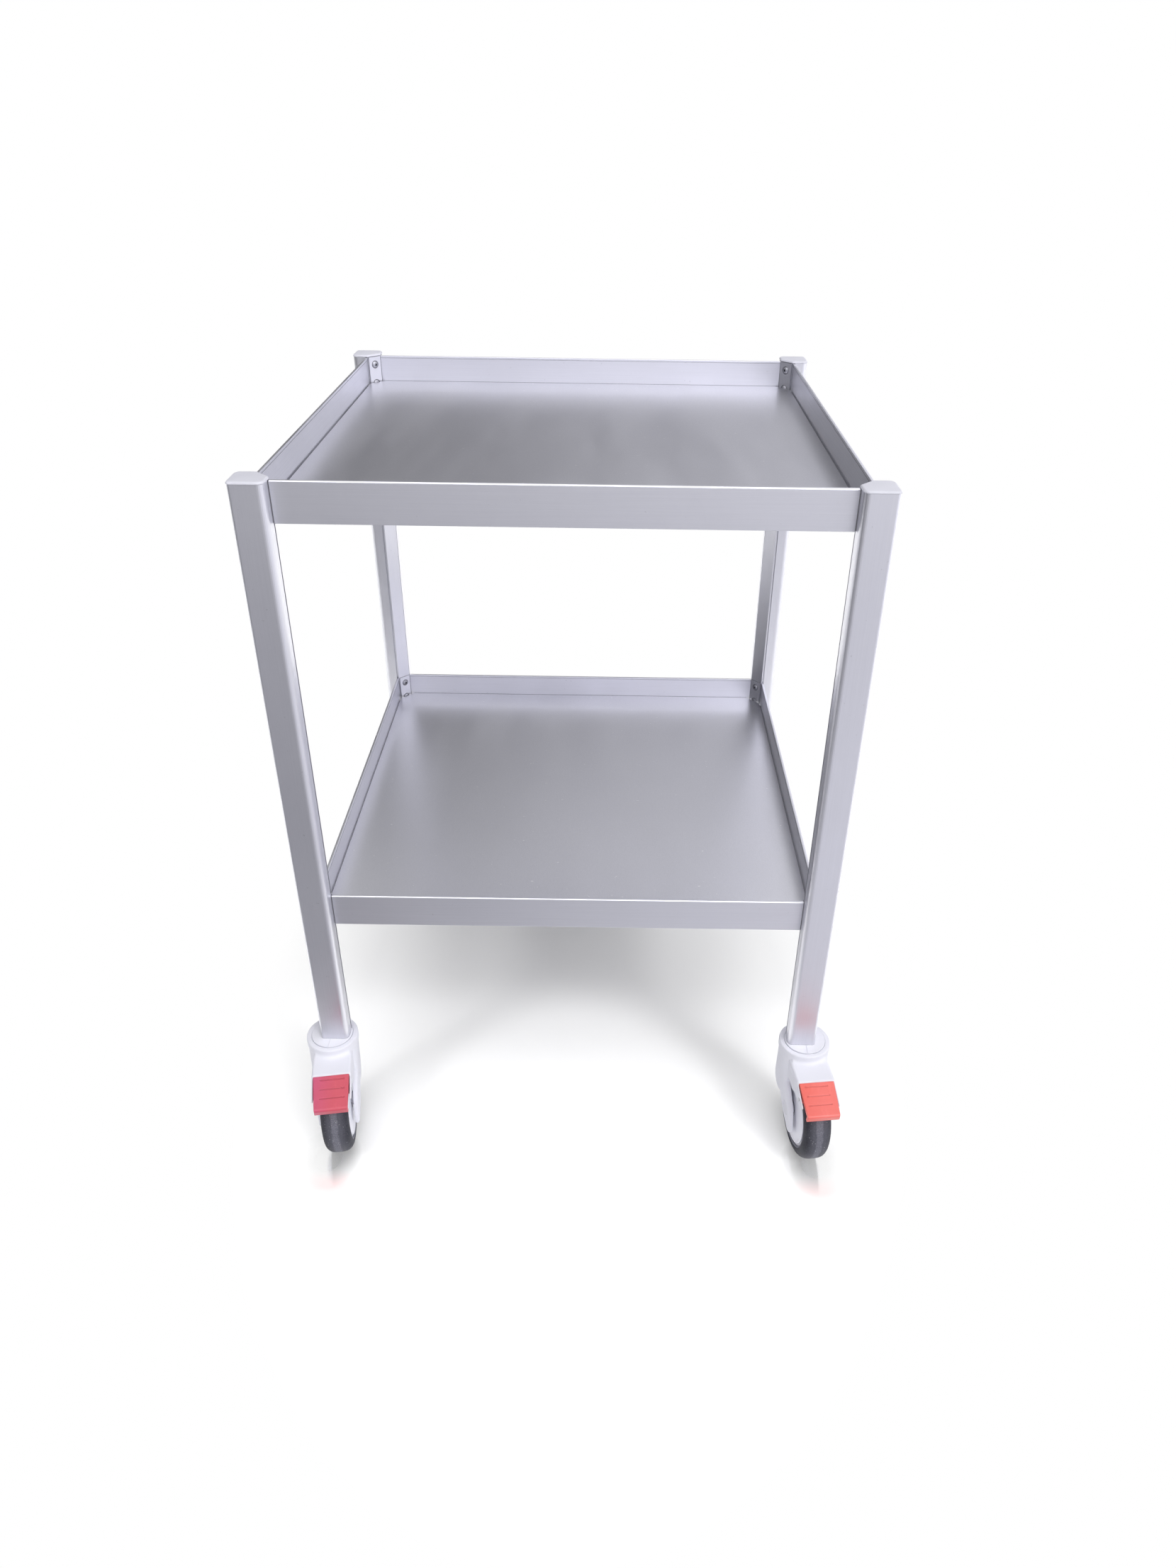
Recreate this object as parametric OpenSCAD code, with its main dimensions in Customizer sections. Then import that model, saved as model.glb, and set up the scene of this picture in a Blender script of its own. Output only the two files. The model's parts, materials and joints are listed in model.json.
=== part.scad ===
// Medical utility trolley: four grooved aluminium posts carry two railed trays,
// bolted at each corner, on four swivel casters; the front two have brake pedals.
// Millimetres, +Z up, floor at Z = 0. The front is -Y. The origin is under the
// middle of the box round the whole trolley, with its casters as at rest.

/* [Trolley] */
// Width over the corner posts
frame_w = 600; // [480:10:900]
// Depth over the corner posts
frame_d = 600; // [480:10:900]
// Length of a corner post
post_len = 675.6; // [600:0.1:900]
// Height between the top edges of the two trays
tray_gap = 469.4; // [380:0.1:560]
// Drop from the top of a post to the top edge of the upper tray
rail_drop = 0.3; // [0:0.1:5]

/* [Corner posts] */
// Width of the square section
post_w = 33; // [31:0.5:38]
// Wall of the hollow section
post_wall = 2.5; // [2:0.1:3]
// Radius of the corner that faces outward
post_outer_r = 3; // [1:0.5:5]
// Radius of the two corners beside it
post_side_r = 6; // [2:0.5:8]
// Width of the groove that takes the rail ends
groove_w = 2.6; // [1.8:0.1:3]
// Depth of that groove
groove_depth = 2.6; // [2:0.1:3]
// Wall round the stem bore inside the post
boss_wall = 3.4; // [3:0.1:4]

/* [Post caps] */
// Height of the cap above the post
cap_h = 3.3; // [2.5:0.1:6]
// Overhang of the cap past the post's faces
cap_over = 0.8; // [0.2:0.1:2]
// Radius of the cap's soft upper edge
cap_edge = 2; // [0.5:0.1:2.4]
// Rise of the crown in the middle of the cap
cap_crown = 0.5; // [0.2:0.1:1]
// Depth of the plug inside the post
cap_plug = 5; // [2:0.1:5]

/* [Rails] */
// Height of a rail
rail_h = 40; // [38:0.5:60]
// Thickness of a rail
rail_t = 3.6; // [3.2:0.1:4.5]
// Distance of the rails' outer faces from the posts' inner side
rail_back = 17.3; // [16:0.1:18]
// Radius of the rail's outer top edge
rail_edge = 1.6; // [0.5:0.1:1.8]
// Distance of the fine line on the inner face below the top edge
line_drop = 2.4; // [2:0.1:5]
// Open joint between a rail's end and the post
rail_joint = 0.8; // [0.2:0.1:1.5]
// Width of the ledge that carries the tray floor
ledge_w = 10; // [6:0.5:20]
// Thickness of that ledge
ledge_t = 2; // [1.5:0.1:3]
// Length of ledge left out at each end, clear of the clamps
ledge_short = 8; // [6:0.5:20]

/* [Tray floors] */
// Drop from the top edge of a rail to the floor sheet
floor_drop = 31.6; // [25:0.1:32]
// Thickness of the floor sheet
floor_t = 2; // [1:0.1:3]
// Gap between the sheet and the rails at the left and right
floor_side_gap = 1.8; // [0.5:0.1:3]
// Gap between the sheet and the rails at the front and back
floor_end_gap = 0.2; // [0.1:0.1:2]
// Gap between the notched corners and the clamp screws' heads
notch_gap = 0.4; // [0.3:0.1:3]

/* [Corner clamps] */
// Thickness of a clamp plate
clamp_t = 1.6; // [1.2:0.1:2.5]
// Width of a clamp
clamp_w = 17.6; // [14:0.2:19]
// Height of a clamp plate
clamp_h = 39.5; // [38.5:0.1:40]
// Drop from the rail's top edge to the upper screw
screw_upper = 9.7; // [8:0.1:12]
// Drop from the rail's top edge to the lower screw
screw_lower = 33.2; // [24:0.1:33.2]
// Radius of a screw's shank
screw_r = 2.5; // [2:0.1:2.6]
// Radius of a screw's button head
head_r = 4.6; // [4:0.1:5]
// Height of a screw's button head
head_h = 2.6; // [2:0.1:3]
// Depth of the round seat under a screw head
head_sink = 0.6; // [0.2:0.1:1]
// Gap round a screw head in its seat
sink_gap = 0.4; // [0.2:0.1:0.5]
// Width across the flats of the hexagon socket
socket_w = 3; // [2:0.1:3.4]
// Thickness of the nut bar inside the post
nut_t = 3.5; // [2.5:0.1:4]
// Width of the nut bar
nut_w = 9; // [7:0.5:10]

/* [Casters] */
// Height of a post's lower end above the top of the wheel
neck_h = 15.7; // [15.4:0.1:16.5]
// Distance of a swivel axis from the posts' outer faces
axis_in = 10.8; // [10.5:0.1:13]
// Distance of the axle from the swivel axis
trail = 36; // [34:0.5:40]
// Angle of the front left caster from straight ahead
yaw_fl = 9.1; // [0:0.1:45]
// Angle of the front right caster from straight ahead
yaw_fr = 6.6; // [0:0.1:45]
// Angle of the rear casters from straight ahead
yaw_rear = 7.8; // [0:0.1:45]
// Radius of the round head on the fork
dish_r = 30.8; // [30:0.1:36]
// Height of the head's outer band
dish_h = 10.5; // [8:0.1:11]
// Drop from the post's lower end to the head's rim
rim_drop = 1.2; // [0.6:0.1:2]
// Radius of the fixed collar under the post
collar_r = 24.6; // [24:0.1:26]
// Gap round the collar
collar_gap = 0.15; // [0.1:0.05:0.4]
// Thickness of the fixed collar
collar_t = 2.8; // [2:0.1:3.5]
// Width of the seam across the collar's front
seam_w = 0.8; // [0.4:0.1:2]
// Radius of the stem inside the post
stem_r = 6; // [5:0.1:6.2]
// Length of the stem above the collar
stem_len = 45; // [25:1:80]
// Radius of the stem's journal in the fork
journal_r = 8; // [7.5:0.1:9]
// Radius of the stem's riveted head
rivet_r = 10; // [9.6:0.1:11]
// Thickness of that head
rivet_t = 2.6; // [1.5:0.1:3]

/* [Fork] */
// Distance of the cheeks' inner faces from the wheel's middle
cheek_in = 19.6; // [18.6:0.1:20]
// Rounding of a cheek's outer edge
cheek_edge = 2.4; // [1:0.1:3]
// Radius of a cheek round the axle
lobe_r = 18; // [14:0.5:22]
// Thickness of a cheek at the axle
lobe_t = 5.6; // [5:0.1:8]
// Radius of the toe at a cheek's lower end
toe_r = 9; // [7:0.5:14]
// Thickness of the toe
toe_t = 4.6; // [3.6:0.1:7]
// Distance of the toe's middle ahead of the axle
toe_ahead = 13; // [4:0.5:14]
// Distance of the toe's middle below the axle
toe_drop = 18; // [8:0.5:20]
// Radius of the leg between the head and the axle
leg_r = 17; // [13:0.5:20]
// Thickness of the leg
leg_t = 7.2; // [6:0.1:9]
// Distance of the leg's middle behind the axle
leg_back = 26; // [20:0.5:30]
// Height of the leg's middle above the axle
leg_up = 25.5; // [20:0.5:30]
// Radius of the heel at a cheek's rear
heel_r = 17.5; // [12:0.5:20]
// Thickness of the heel
heel_t = 6.8; // [5:0.1:8]
// Distance of the heel's middle behind the axle
heel_back = 37; // [30:0.5:42]
// Height of the heel's middle above the axle
heel_up = 15; // [10:0.5:20]
// Height of the hood's sides
skirt_h = 28; // [20:0.5:30]
// Half width of the hood over the wheel
hood_half = 23.2; // [22.8:0.1:25]
// Distance of the hood's front ahead of the axle
hood_ahead = 23.2; // [20:0.1:24]
// Distance from the post's lower end down to the hood's front edge
hood_drop = 12.2; // [11.5:0.1:14]
// Gap between the wheel and the hood
hood_gap = 2; // [1.5:0.1:2.5]
// Radius of the hollow curve between the head and the hood
saddle_r = 5.5; // [3:0.1:7]
// Thickness of the arm beside the pedal
arm_t = 1.6; // [1.2:0.1:2.2]

/* [Wheels] */
// Radius of a wheel
wheel_r = 62.5; // [61:0.1:62.5]
// Width of a tyre
tyre_w = 33; // [31:0.5:35]
// Radius of the tyre's shoulders
shoulder_r = 10; // [6:0.5:12]
// Radius of the wheel's core
core_r = 46.3; // [42:0.1:50]
// Radius of the guard discs
guard_r = 44; // [36:0.1:44]
// Thickness of a guard disc
guard_t = 1.8; // [1:0.1:2.2]
// Width of the wheel's core
core_w = 29.2; // [24:0.1:29.6]
// Radius of the axle
axle_r = 6; // [5:0.1:6.5]
// Radius of the axle's sunk heads
axle_head_r = 8.5; // [8:0.1:10]
// Outer radius of a ball bearing
bearing_r = 11; // [10:0.1:13]
// Width of a ball bearing
bearing_w = 8; // [6:0.1:9]

/* [Brake pedals] */
// Width of a pedal at its rear
pedal_w = 42; // [40:0.1:42]
// Width of a pedal at its front
pedal_front_w = 38.8; // [34:0.1:40]
// Length of a pedal's tread
pedal_len = 43.6; // [40:0.1:50]
// Slope of a pedal's tread
pedal_slope = 18.7; // [17:0.1:21]
// Thickness of a pedal's tread
pedal_t = 4.6; // [4:0.1:5]
// Height of the lip at a pedal's front
lip_h = 11; // [6:0.1:11]
// Distance of the pedal's hinge ahead of the axle
hinge_ahead = 34; // [33.5:0.1:34.5]
// Distance of the pedal's hinge below the post's lower end
hinge_drop = 27.7; // [27.4:0.1:28]
// Radius of the hinge pins
pin_r = 2; // [1.5:0.1:2.5]
// Number of grooves across the tread
grip_count = 3; // [1:1:3]
// Distance of the first groove from the tread's rear edge
grip_first = 5.1; // [4:0.1:7]
// Distance from groove to groove
grip_pitch = 11.6; // [8:0.1:12]
// Length of a groove
grip_len = 26; // [20:1:30]

/* [Fits] */
// Clearance round what turns and round stems, pins and screws
fit = 0.05; // [0.02:0.01:0.1]
// Clearance between faces that move past each other
run_gap = 0.3; // [0.2:0.05:0.4]
// Clearance of the cap's plug and of the clamp plates
loose = 0.1; // [0.05:0.05:0.2]

/* [Hidden] */
$fn = 64;
HULL_FN = 28;
diag = sqrt(2);

// Corners as [side, end]: -1 is left or front, 1 is right or rear
FL = [-1, -1];
FR = [1, -1];
RL = [-1, 1];
RR = [1, 1];
CORNERS = [FL, FR, RL, RR];

// Heights of the posts and trays
caster_h = 2 * wheel_r + neck_h;
post_base = caster_h;
post_top = post_base + post_len;
top_z = post_top - rail_drop;
low_z = top_z - tray_gap;

// Where the 45 degree inner face of a post starts, level with the rails' inner faces
rail_in = post_w - rail_back;
flat_from = rail_in + rail_t;
flat_s = (post_w + flat_from) / diag;
groove_mid = rail_in + rail_t / 2;
stem_bore = stem_r + fit;
boss_r = stem_bore + boss_wall;

// Caster heights, above the floor
rim_z = caster_h - rim_drop;
seat_z = caster_h - collar_t - run_gap;
web_low = seat_z - 13;
dish_low = rim_z - dish_h;
hood_z = caster_h - hood_drop;
pocket_r = wheel_r + hood_gap;
head_t = 2.2;
head_seat = cheek_in + lobe_t - head_t - 0.2;

// The hood's front, the pedal's hinge, the pedal's upper rear edge and its reach
hood_reach = trail + hood_ahead;
hinge_x = trail + hinge_ahead;
hinge_z = caster_h - hinge_drop;
pedal_x = hood_reach + 0.4;
pedal_z = hood_z - 0.2;
pedal_reach = pedal_x + pedal_len * cos(pedal_slope);
arm_in = pedal_w / 2 + run_gap;

// The box round the whole trolley, whose middle is the origin
axis_x = frame_w / 2 - axis_in;
axis_y = frame_d / 2 - axis_in;
front_reach = pedal_reach * cos(yaw_fl) + pedal_front_w / 2 * sin(yaw_fl);
lobe_x = trail + lobe_r - cheek_edge;
lobe_y = cheek_in + lobe_t;
right_reach = max(
    dish_r,
    pedal_reach * sin(yaw_fr) + pedal_front_w / 2 * cos(yaw_fr),
    lobe_x * sin(yaw_fr) + lobe_y * cos(yaw_fr),
    lobe_x * sin(yaw_rear) + lobe_y * cos(yaw_rear)
);
mid_x = (dish_r - right_reach) / 2;
mid_y = (front_reach - dish_r) / 2;

// Points of an arc from angle a to angle b round c
function arc(c, r, a, b, n = 6) =
    [for (i = [0 : n]) [c[0] + r * cos(a + (b - a) * i / n), c[1] + r * sin(a + (b - a) * i / n)]];

function yaw(c) = c[1] > 0 ? yaw_rear : c[0] > 0 ? yaw_fr : yaw_fl;

// Outline of a post, measured inward from its outer faces and drawn in by t
function post_points(t) =
    let (r1 = max(post_outer_r - t, 0.4), r2 = max(post_side_r - t, 0.4))
    let (a = post_w - t, b = flat_from - t * (diag - 1))
    concat(
        arc([t + r1, t + r1], r1, 180, 270),
        arc([a - r2, t + r2], r2, 270, 360),
        [[a, b], [b, a]],
        arc([t + r2, a - r2], r2, 90, 180)
    );

// Puts a shape drawn inward from a post's outer corner at one corner of the trolley
module at_corner(c) {
    translate([c[0] * frame_w / 2 + mid_x, c[1] * frame_d / 2 + mid_y, 0])
        mirror([c[0] > 0 ? 1 : 0, 0, 0])
            mirror([0, c[1] > 0 ? 1 : 0, 0])
                children();
}

// Puts a shape drawn along +Z on the post's diagonal, pointing into the trolley
module on_diagonal(s, z) {
    translate([s / diag, s / diag, z]) rotate([0, 90, 45]) children();
}

// Puts a shape drawn round the swivel axis, with +X ahead, at one caster
module at_caster(c) {
    translate([c[0] * axis_x + mid_x, c[1] * axis_y + mid_y, 0])
        rotate([0, 0, yaw(c) - 90])
            children();
}

// Puts a shape drawn along +Z on the wheel's axis, with its middle at zero
module on_axle() {
    translate([trail, 0, wheel_r]) rotate([-90, 0, 0]) children();
}

// The hollow of a post, with a clearance g to its walls
module post_hollow(g) {
    difference() {
        polygon(post_points(post_wall + g));
        translate([axis_in, axis_in]) circle(r = boss_r + g);
        for (side = [0, 1])
            mirror([side, -side, 0])
                translate([post_w - groove_depth - post_wall - g, groove_mid - groove_w / 2 - post_wall - g])
                    square([post_w, groove_w + 2 * post_wall + 2 * g]);
    }
}

module post(c) {
    color("#b9b9c6") at_corner(c) difference() {
        translate([0, 0, post_base]) linear_extrude(post_len) difference() {
            polygon(post_points(0));
            post_hollow(0);
            for (side = [0, 1])
                mirror([side, -side, 0])
                    translate([post_w - groove_depth, groove_mid - groove_w / 2])
                        square([post_w, groove_w]);
        }
        translate([axis_in, axis_in, post_base - 1]) cylinder(r = stem_bore, h = post_len + 2);
        for (z = [top_z, low_z], drop = [screw_upper, screw_lower])
            on_diagonal(flat_s - post_wall - 1, z - drop) cylinder(r = screw_r + fit, h = post_wall + 2);
    }
}

// A round button with a soft upper edge, one corner of a cap
module cap_button(p, r) {
    translate([p[0], p[1], 0]) {
        cylinder(r = r, h = cap_h - cap_crown - cap_edge, $fn = HULL_FN);
        translate([0, 0, cap_h - cap_crown - cap_edge]) rotate_extrude($fn = HULL_FN)
            polygon(concat([[0, 0]], arc([max(r - cap_edge, 0), 0], min(r, cap_edge), 0, 90, 4),
                           [[0, cap_edge]]));
    }
}

module cap(c) {
    outer = post_outer_r + cap_over;
    beside = post_side_r + cap_over;
    far = post_w - post_side_r;
    tip = cap_edge + 0.4;
    edge = post_w + cap_over - tip;
    flat = flat_from + cap_over * (diag - 1) - tip * (diag - 1);
    color("#c9c9d4") at_corner(c) translate([0, 0, post_top]) {
        hull() {
            cap_button([post_outer_r, post_outer_r], outer);
            cap_button([far, post_side_r], beside);
            cap_button([post_side_r, far], beside);
            cap_button([edge, flat], tip);
            cap_button([flat, edge], tip);
            translate([post_w / 2 - 2, post_w / 2 - 2, cap_h - 0.1]) cylinder(r = 4, h = 0.1, $fn = HULL_FN);
        }
        translate([0, 0, -cap_plug]) linear_extrude(cap_plug + 0.5) post_hollow(loose);
    }
}

// The rail's web, across its thickness and down from its top edge
module rail_web() {
    inner_r = 0.5;
    difference() {
        polygon(concat(
            arc([rail_edge, -rail_edge], rail_edge, 180, 90),
            arc([rail_t - inner_r, -inner_r], inner_r, 90, 0, 3),
            arc([rail_t - inner_r, inner_r - rail_h], inner_r, 0, -90, 3),
            arc([inner_r, inner_r - rail_h], inner_r, 270, 180, 3)
        ));
        translate([rail_t - 0.3, -line_drop - 0.5]) square([1, 0.5]);
    }
}

// A rail of one length, its outer face at Y = 0 and its top edge at Z = 0
module rail_bar(len) {
    web = len - 2 * rail_joint;
    tongue = len + 2 * (groove_depth - 2 * loose);
    tongue_t = groove_w - 2 * loose;
    ledge = web - 2 * ledge_short;
    rotate([90, 0, 90]) {
        translate([0, 0, -web / 2]) linear_extrude(web) rail_web();
        translate([0, 0, -ledge / 2]) linear_extrude(ledge)
            translate([rail_t - 0.5, -floor_drop - floor_t - ledge_t])
                square([ledge_w + 0.5, ledge_t]);
    }
    translate([-tongue / 2, (rail_t - tongue_t) / 2, 1 - rail_h]) cube([tongue, tongue_t, rail_h - 2]);
}

// A rail on one side of the trolley: 0 front, 90 right, 180 back, 270 left
module rail(side, z) {
    across = side % 180 == 0;
    len = (across ? frame_w : frame_d) - 2 * post_w;
    out = (across ? frame_d : frame_w) / 2 - rail_in;
    color("#bdbdca") translate([mid_x, mid_y, z]) rotate([0, 0, side])
        translate([0, -out, 0]) rail_bar(len);
}

module tray_floor(z) {
    x = frame_w / 2 - flat_from - floor_side_gap;
    y = frame_d / 2 - flat_from - floor_end_gap;
    cut = frame_w / 2 + frame_d / 2 - (flat_s + clamp_t + head_h + notch_gap) * diag;
    color("#a9a9b6") translate([mid_x, mid_y, z - floor_drop - floor_t]) linear_extrude(floor_t)
        polygon([
            [x, cut - x], [cut - y, y], [y - cut, y], [-x, cut - x],
            [-x, x - cut], [y - cut, -y], [cut - y, -y], [x, x - cut]
        ]);
}

// The plates over the posts' flats, with round seats for the screw heads
module clamps(z) {
    color("#b9b9c4") for (c = CORNERS) at_corner(c) difference() {
        on_diagonal(flat_s, z - clamp_h / 2)
            translate([-clamp_h / 2, -clamp_w / 2, 0]) cube([clamp_h, clamp_w, clamp_t]);
        for (drop = [screw_upper, screw_lower]) {
            on_diagonal(flat_s - 1, z - drop) cylinder(r = screw_r + fit, h = clamp_t + 2);
            on_diagonal(flat_s + clamp_t - head_sink, z - drop) cylinder(r = head_r + sink_gap, h = 2);
        }
    }
}

// A button-head screw, its seat at zero and its head along +Z
module screw() {
    reach = clamp_t + post_wall + nut_t + 1.5;
    round_r = (head_r * head_r + head_h * head_h) / (2 * head_h);
    span = asin(head_r / round_r);
    difference() {
        union() {
            translate([0, 0, -reach]) cylinder(r = screw_r, h = reach + 0.5);
            rotate_extrude() polygon(concat([[0, 0]], arc([0, head_h - round_r], round_r, 90 - span, 90, 8)));
        }
        translate([0, 0, head_h - 1.7]) cylinder(r = socket_w / sqrt(3), h = 2, $fn = 6);
    }
}

module corner_screws() {
    color("#a3a3ae") for (c = CORNERS, z = [top_z, low_z], drop = [screw_upper, screw_lower])
        at_corner(c) on_diagonal(flat_s + clamp_t - head_sink, z - drop) screw();
}

module nut_bars() {
    tall = screw_lower - screw_upper + nut_w;
    color("#8d8d98") for (c = CORNERS, z = [top_z, low_z]) at_corner(c) difference() {
        on_diagonal(flat_s - post_wall - nut_t, z - (screw_upper + screw_lower) / 2)
            translate([-tall / 2, -nut_w / 2, 0]) cube([tall, nut_w, nut_t]);
        for (drop = [screw_upper, screw_lower])
            on_diagonal(flat_s - post_wall - nut_t - 1, z - drop)
                cylinder(r = screw_r + fit, h = nut_t + 2);
    }
}

// The fixed collar under a post, with the seam across its front
module collar(c) {
    color("#f1f1f5") translate([c[0] * axis_x + mid_x, c[1] * axis_y + mid_y, caster_h - collar_t])
        difference() {
            rotate_extrude() polygon(concat(
                [[stem_bore, 0], [collar_r, 0]],
                arc([collar_r - 0.3, collar_t - 0.3], 0.3, 0, 90, 3),
                [[stem_bore, collar_t]]
            ));
            translate([-seam_w / 2, -collar_r - 1, collar_t - 0.6]) cube([seam_w, collar_r - axis_in, 1]);
        }
}

// The swivel stem: shank in the post, journal in the fork, riveted head below
module stem(c) {
    low = web_low - run_gap - rivet_t;
    step = caster_h - collar_t;
    tip = caster_h + stem_len;
    color("#c4c4ca") translate([c[0] * axis_x + mid_x, c[1] * axis_y + mid_y, 0])
        rotate_extrude() polygon([
            [0, low], [rivet_r - 0.8, low], [rivet_r, low + 0.8], [rivet_r, low + rivet_t],
            [journal_r, low + rivet_t], [journal_r, step], [stem_r, step],
            [stem_r, tip - 1], [stem_r - 1, tip], [0, tip]
        ]);
}

// A disc with a soft outer edge, from the cheek's inner face outward
module cheek_disc(x, z, r, t) {
    e = cheek_edge;
    translate([x, cheek_in, z]) rotate([-90, 0, 0]) {
        cylinder(r = r, h = t - e, $fn = HULL_FN);
        cylinder(r = r - 0.3 * e, h = t - 0.3 * e, $fn = HULL_FN);
        cylinder(r = r - e, h = t, $fn = HULL_FN);
    }
}

// One cheek of the fork: a leg from the head past the axle to the toe, and a heel
module cheek() {
    hull() {
        cheek_disc(trail + toe_ahead, wheel_r - toe_drop, toe_r, toe_t);
        cheek_disc(trail, wheel_r, lobe_r, lobe_t);
        cheek_disc(trail - leg_back, wheel_r + leg_up, leg_r, leg_t);
    }
    hull() {
        cheek_disc(trail - heel_back, wheel_r + heel_up, heel_r, heel_t);
        cheek_disc(trail - leg_back, wheel_r + leg_up, leg_r, leg_t);
        intersection() {
            translate([0, 0, dish_low - 1.5]) cylinder(r = dish_r - 1, h = 3, $fn = 2 * HULL_FN);
            translate([-dish_r, cheek_in, dish_low - 2]) cube([2 * dish_r, dish_r, 4]);
        }
    }
}

// The arm beside the pedal, which holds the hinge pin
module arm() {
    tip = [hinge_x + 13.5, hinge_z + 0.8, 2.4];
    eye = [hinge_x, hinge_z, 5];
    shoulder = [hinge_x - 12, hinge_z + 10, 3.5];
    root = [hinge_x - 28, hinge_z - 3.5, 4.5];
    hull() for (p = [tip, eye, shoulder, root])
        translate([p[0], arm_in, p[1]]) rotate([-90, 0, 0]) {
            cylinder(r = p[2], h = arm_t - 0.6, $fn = HULL_FN);
            cylinder(r = p[2] - 0.6, h = arm_t, $fn = HULL_FN);
        }
}

// The hood over the wheel, one soft block before the wheel's pocket is cut
module hood() {
    r = 3;
    y = hood_half - r;
    front = hood_reach - r;
    foot = hood_z - skirt_h + r;
    hull() for (side = [-1, 1], p = [
        [front, hood_z - r], [front - 0.5, foot + 5.5], [front - 13, foot],
        [24, dish_low - 0.3 - r], [-20, dish_low - r], [-19, hood_z - 20]
    ]) translate([p[0], side * y, p[1]]) sphere(r = r, $fn = 16);
}

// The round head on the fork
module dish() {
    rotate_extrude() polygon(concat(
        [[0, dish_low - 6], [dish_r - 6, dish_low - 4]],
        arc([dish_r - 2.5, dish_low + 1], 2.5, -60, 0, 4),
        arc([dish_r - 1.2, rim_z - 1.2], 1.2, 0, 90, 4),
        [[0, rim_z]]
    ));
}

// The hollow curve that leads from the head's front into the hood
module saddle() {
    low = dish_low - 0.3;
    reach = dish_r - 0.3 + saddle_r;
    y = hood_half - 2.5;
    intersection() {
        rotate_extrude() polygon(concat(
            [[dish_r - 6, low - 2], [reach, low - 2]],
            arc([reach, low + saddle_r], saddle_r, 270, 180),
            [[dish_r - 6, low + saddle_r]]
        ));
        translate([0, -y, low - 3]) cube([reach + 1, 2 * y, saddle_r + 4]);
    }
}

// The moulded fork of a caster; the front two have arms that hold the pedal
module housing(c) {
    braked = c[1] < 0;
    color("#ededf3") at_caster(c) difference() {
        union() {
            dish();
            saddle();
            hood();
            for (side = [0, 1]) mirror([0, side, 0]) {
                cheek();
                if (braked) arm();
            }
        }
        on_axle() cylinder(r = pocket_r, h = 2 * cheek_in, center = true, $fn = 96);
        translate([0, 0, web_low - 1]) cylinder(r = journal_r + fit, h = 20);
        translate([0, 0, web_low - 30]) cylinder(r = rivet_r + 0.6, h = 30);
        translate([0, 0, seat_z]) cylinder(r = collar_r + collar_gap, h = 10);
        on_axle() cylinder(r = axle_r + fit, h = 80, center = true);
        for (side = [0, 180]) on_axle() rotate([side, 0, 0])
            translate([0, 0, head_seat]) cylinder(r = axle_head_r + fit, h = 12);
        if (braked)
            translate([hinge_x, 0, hinge_z]) rotate([90, 0, 0])
                cylinder(r = pin_r + fit, h = 60, center = true);
    }
}

// The axle bolt with its spacers beside the bearings and its sunk heads
module axle(c) {
    near = core_w / 2 + guard_t + loose;
    color("#b8b8c0") at_caster(c) on_axle() {
        cylinder(r = axle_r, h = 2 * head_seat + 1, center = true);
        for (side = [0, 180]) rotate([side, 0, 0]) {
            translate([0, 0, head_seat + fit]) cylinder(r = axle_head_r, h = head_t);
            translate([0, 0, near]) cylinder(r = axle_r + 2, h = cheek_in - near - fit);
        }
    }
}

// The wheel's core: hub, web and rim
module rim(c) {
    half = core_w / 2;
    seat = half + guard_t - bearing_w;
    color("#d7d7de") at_caster(c) on_axle() rotate_extrude() polygon([
        [axle_r + 2, -seat], [bearing_r + fit, -seat], [bearing_r + fit, -half],
        [bearing_r + 5, -half], [bearing_r + 7, -4], [core_r - 8, -4], [core_r - 7, -half],
        [core_r, -half], [core_r, half],
        [core_r - 7, half], [core_r - 8, 4], [bearing_r + 7, 4], [bearing_r + 5, half],
        [bearing_r + fit, half], [bearing_r + fit, seat], [axle_r + 2, seat]
    ]);
}

// The two discs that close the wheel's sides
module guards(c) {
    half = core_w / 2;
    hole = bearing_r + fit;
    color("#dddde6") at_caster(c) for (side = [0, 180]) on_axle() rotate([side, 0, 0])
        rotate_extrude() polygon([
            [hole, half], [guard_r, half], [guard_r, half + guard_t - 0.6], [guard_r - 0.8, half + guard_t],
            [guard_r - 5, half + guard_t], [guard_r - 7, half + guard_t - 0.5],
            [hole + 6, half + guard_t - 0.5], [hole + 4, half + guard_t], [hole, half + guard_t]
        ]);
}

// The tyre, soft at its shoulders and slightly crowned
module tyre(c) {
    half = tyre_w / 2;
    mid_r = wheel_r - 0.5 - shoulder_r;
    lip = guard_r + 0.2;
    core = core_w / 2;
    color("#3b3b42") at_caster(c) on_axle() rotate_extrude($fn = 96) polygon(concat(
        [[core_r, core], [lip, core], [lip, core + guard_t - 0.6], [core_r + 3, half]],
        arc([mid_r, half - shoulder_r], shoulder_r, 90, 0, 8),
        [[wheel_r, 2.5], [wheel_r, -2.5]],
        arc([mid_r, shoulder_r - half], shoulder_r, 0, -90, 8),
        [[core_r + 3, -half], [lip, 0.6 - core - guard_t], [lip, -core], [core_r, -core]]
    ));
}

module bearings(c) {
    out = core_w / 2 + guard_t;
    color("#9c9ca4") at_caster(c) for (side = [0, 180]) on_axle() rotate([side, 0, 0])
        translate([0, 0, out - bearing_w]) difference() {
            cylinder(r = bearing_r, h = bearing_w);
            translate([0, 0, -1]) cylinder(r = axle_r + fit, h = bearing_w + 2);
            translate([0, 0, bearing_w - 0.5]) difference() {
                cylinder(r = bearing_r - 1.4, h = 1);
                cylinder(r = axle_r + 1.2, h = 1);
            }
        }
}

// Puts a section drawn along the tread and up from it on the pedal, as wide as w
module across_pedal(w) {
    translate([pedal_x, 0, pedal_z]) rotate([0, pedal_slope, 0])
        rotate([90, 0, 0]) linear_extrude(w, center = true) children();
}

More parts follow.
